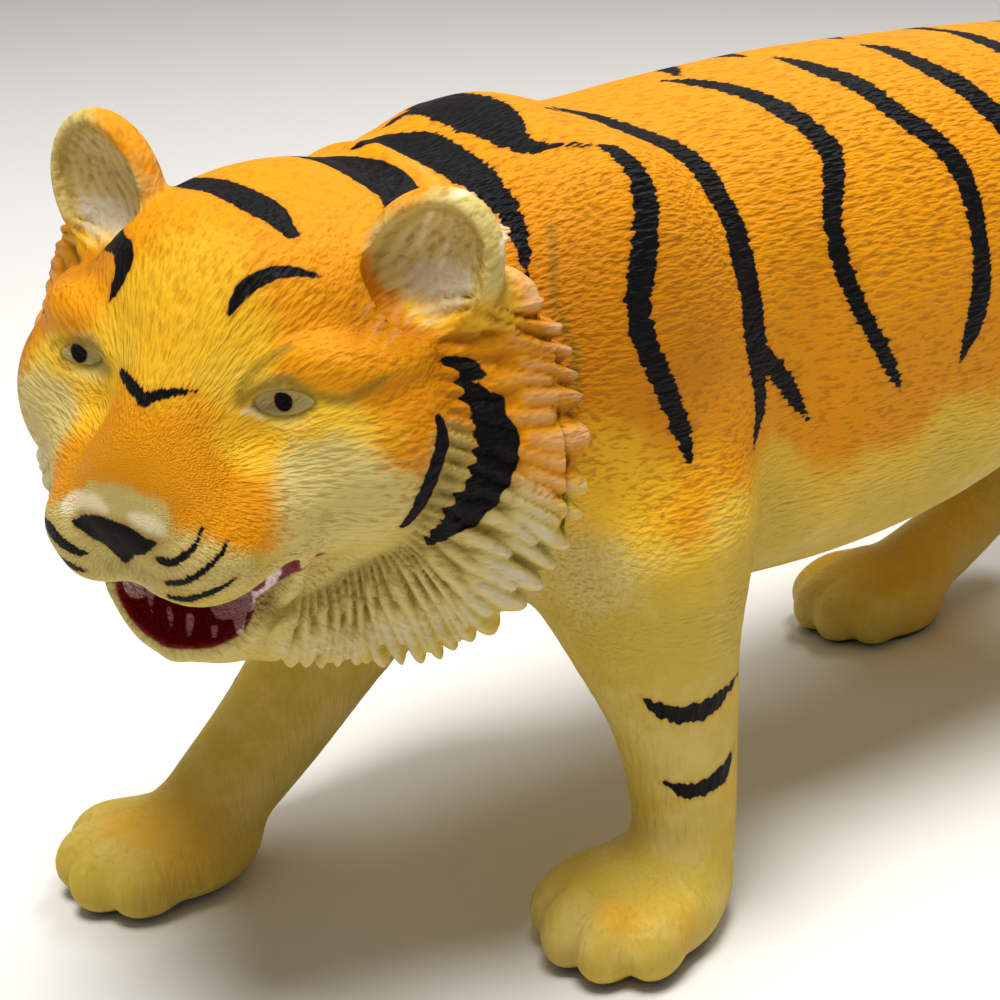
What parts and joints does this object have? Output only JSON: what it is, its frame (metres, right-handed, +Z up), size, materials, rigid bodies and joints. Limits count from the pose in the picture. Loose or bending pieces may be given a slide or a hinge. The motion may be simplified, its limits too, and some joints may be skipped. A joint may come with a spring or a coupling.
{
  "type": "tiger figurine",
  "caption": "Walking tiger figurine with an open mouth, moulded in one piece, standing on four flat paws.",
  "frame": {"origin": "on the ground, under the middle of the figure's bounding box", "axes": "+Z up, the tiger walks towards -Y, its left side is at +X, its tail trails at +Y"},
  "size_m": [0.0762, 0.2734, 0.1053],
  "materials": {
    "painted_vinyl": "satin"
  },
  "bodies": {
    "root": {"tiger": "painted_vinyl"}
  },
  "joints": []
}
